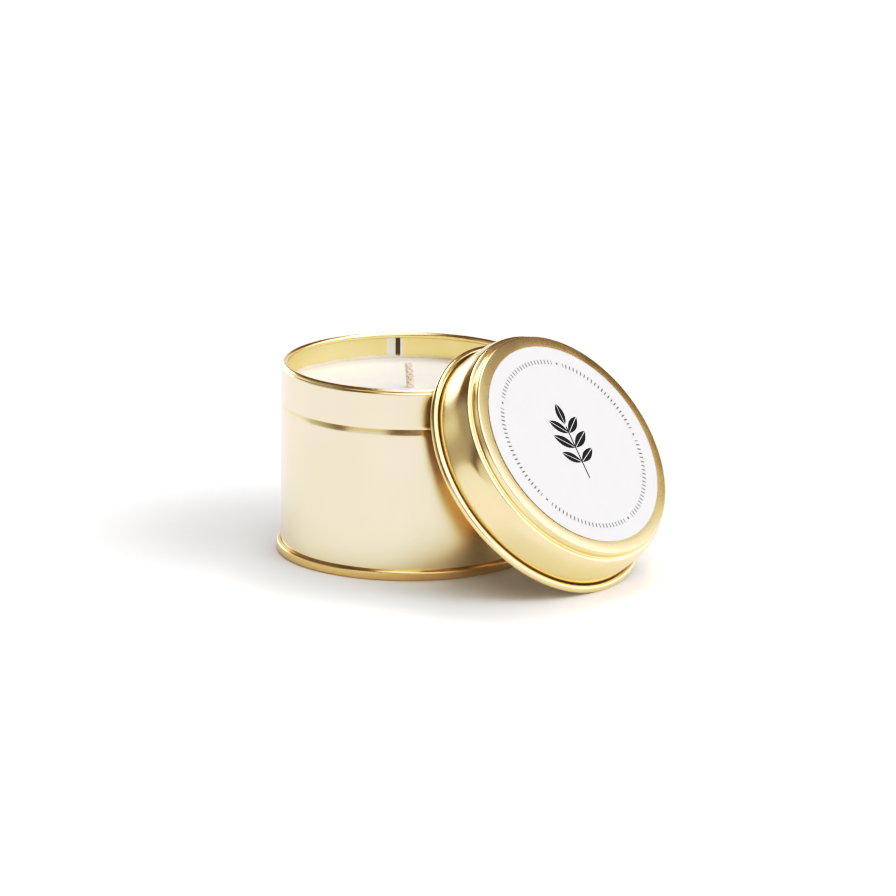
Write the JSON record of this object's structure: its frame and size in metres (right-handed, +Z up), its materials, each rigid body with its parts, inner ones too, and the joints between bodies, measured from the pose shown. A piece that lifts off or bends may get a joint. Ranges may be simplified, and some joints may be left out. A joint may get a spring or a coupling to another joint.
{
  "type": "candle tin",
  "caption": "Gold tin candle with a rolled rim, wax and wick, and a slip lid with a blank paper label that leans on the tin and swings up over it.",
  "frame": {"origin": "on the floor, under the middle of the bounding box of tin and leaning lid", "axes": "+X from the tin's axis towards the lid, +Z up along the tin's axis"},
  "size_m": [0.1008, 0.067, 0.0577],
  "materials": {
    "tin_wall": "satin gold lacquer",
    "tin_end": "satin gold lacquer",
    "lid_gold": "satin gold lacquer",
    "wax": "soft satin, a little translucent",
    "cotton": "braided, waxed",
    "tab_steel": "bright tinned",
    "sticker_paper": "matte",
    "label_paper": "matte white",
    "base_paper": "matte white"
  },
  "bodies": {
    "tin": {"tin_body": "tin_wall", "tin_base": "tin_end", "wax_fill": "wax", "wick": "cotton", "wick_sustainer": "tab_steel", "wick_sticker": "sticker_paper", "base_label": "base_paper"},
    "lid": {"lid_shell": "lid_gold", "lid_label": "label_paper"}
  },
  "joints": [
    {"name": "lid_swing", "type": "hinge", "parent": "tin", "child": "lid", "pos_m": [-0.02232, 0, -0.00229], "axis": [0, -1, 0], "range_deg": [0, 52.75]}
  ]
}
